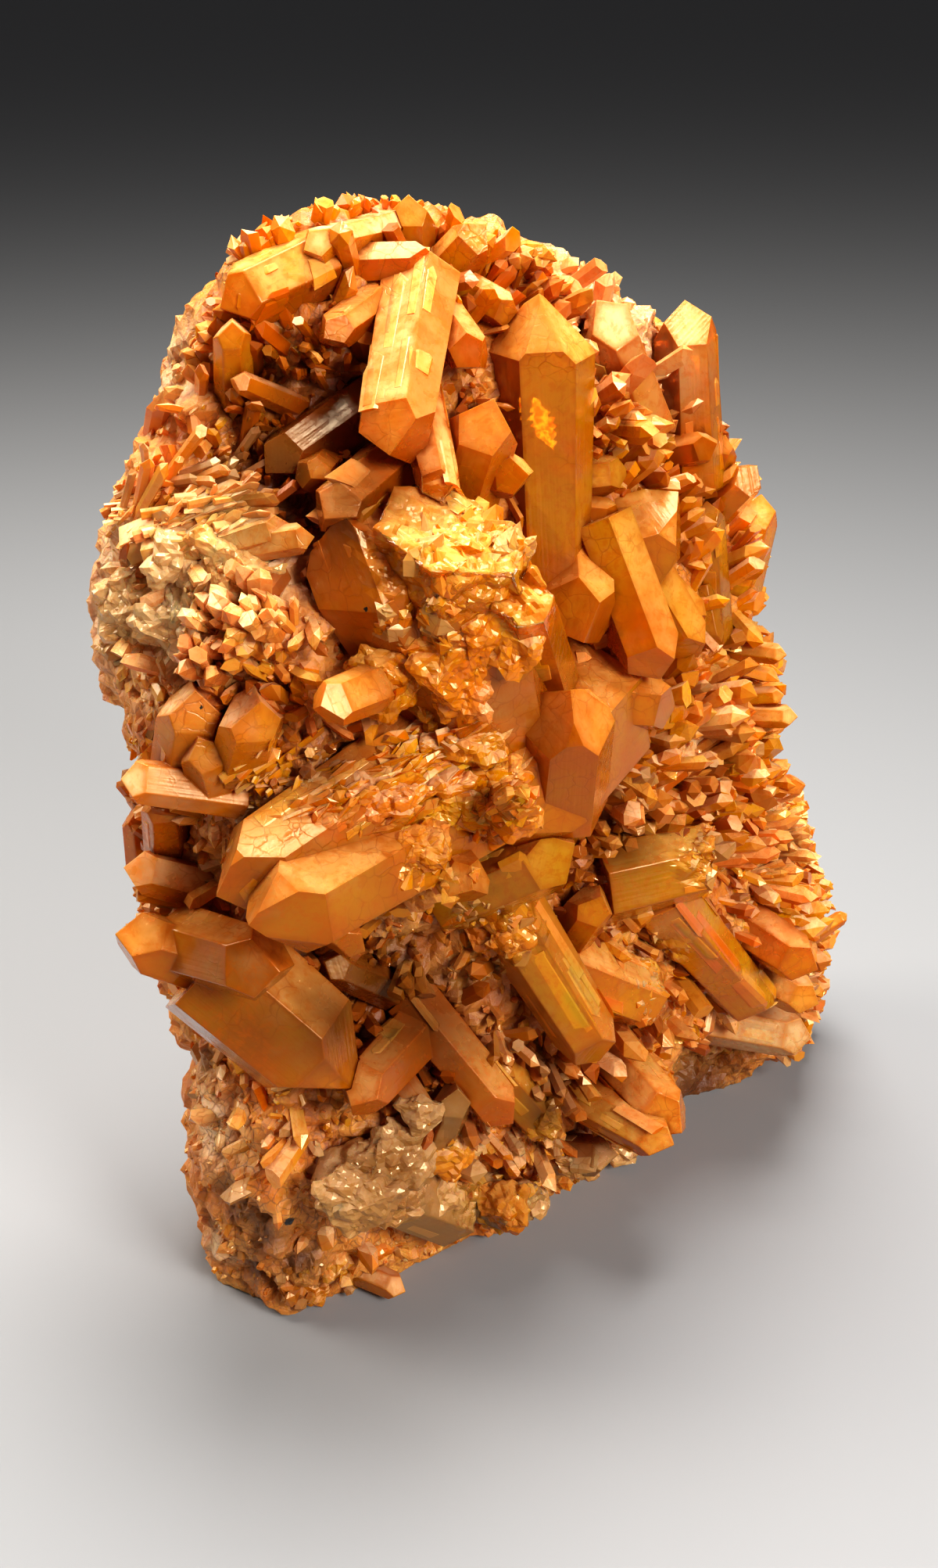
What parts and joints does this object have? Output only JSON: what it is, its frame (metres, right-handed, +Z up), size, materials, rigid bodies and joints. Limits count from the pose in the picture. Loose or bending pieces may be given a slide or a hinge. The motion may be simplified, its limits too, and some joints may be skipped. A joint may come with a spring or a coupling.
{
  "type": "tangerine quartz on matrix",
  "caption": "Upright slab of pale quartz matrix grown over with orange iron-stained quartz crystals, standing on its flat cut base.",
  "frame": {"origin": "at the bottom, under the middle of the whole specimen's bounding box", "axes": "+Z up, +Y away from the side that shows the crystals best, +X to the right seen from that side"},
  "size_m": [0.2188, 0.2367, 0.3081],
  "materials": {
    "matrix": "matte",
    "orange": "gloss",
    "amber": "gloss",
    "rose": "satin",
    "milky": "satin",
    "olive": "gloss"
  },
  "bodies": {
    "root": {"banded_crystal": "orange", "broken_top_crystal": "amber", "clear_low_crystal": "milky", "clear_pointer": "amber", "clear_upright": "olive", "coated_crystal": "amber", "dark_hollow_crystal": "olive", "dark_pointer": "orange", "edge_spike_1": "rose", "edge_spike_3": "rose", "edge_spike_4": "orange", "edge_spike_5": "orange", "foot_crystal_1": "orange", "foot_crystal_2": "rose", "foot_lying_crystal": "rose", "foot_spike": "orange", "foot_tip": "rose", "glassy_foot_end": "milky", "great_amber_crystal": "amber", "hollow_blade": "rose", "hollow_upright": "rose", "left_ledge_crystal": "rose", "left_long_crystal_1": "rose", "left_round_crystal_1": "rose", "left_round_crystal_2": "rose", "left_upright_1": "orange", "left_upright_2": "orange", "low_pointer_1": "amber", "low_pointer_2": "orange", "low_pointer_3": "orange", "lower_right_pointer": "orange", "matrix": "matrix", "milky_chunk": "milky", "ridged_crystal": "orange", "right_top_crystal": "amber", "rim_crystal": "orange", "shadow_crystal": "olive", "shoulder_crystal": "orange", "slanting_crystal": "orange", "small_low_crystal": "rose", "small_round_tip": "orange", "tall_centre_crystal": "amber", "top_left_crystal": "orange", "top_ridge_crystal": "rose", "top_small_crystal_1": "orange", "top_small_crystal_5": "orange", "top_yellow_crystal": "amber", "under_bundle_crystal": "amber", "upper_blade": "orange", "yellow_chunk": "milky"}
  },
  "joints": []
}
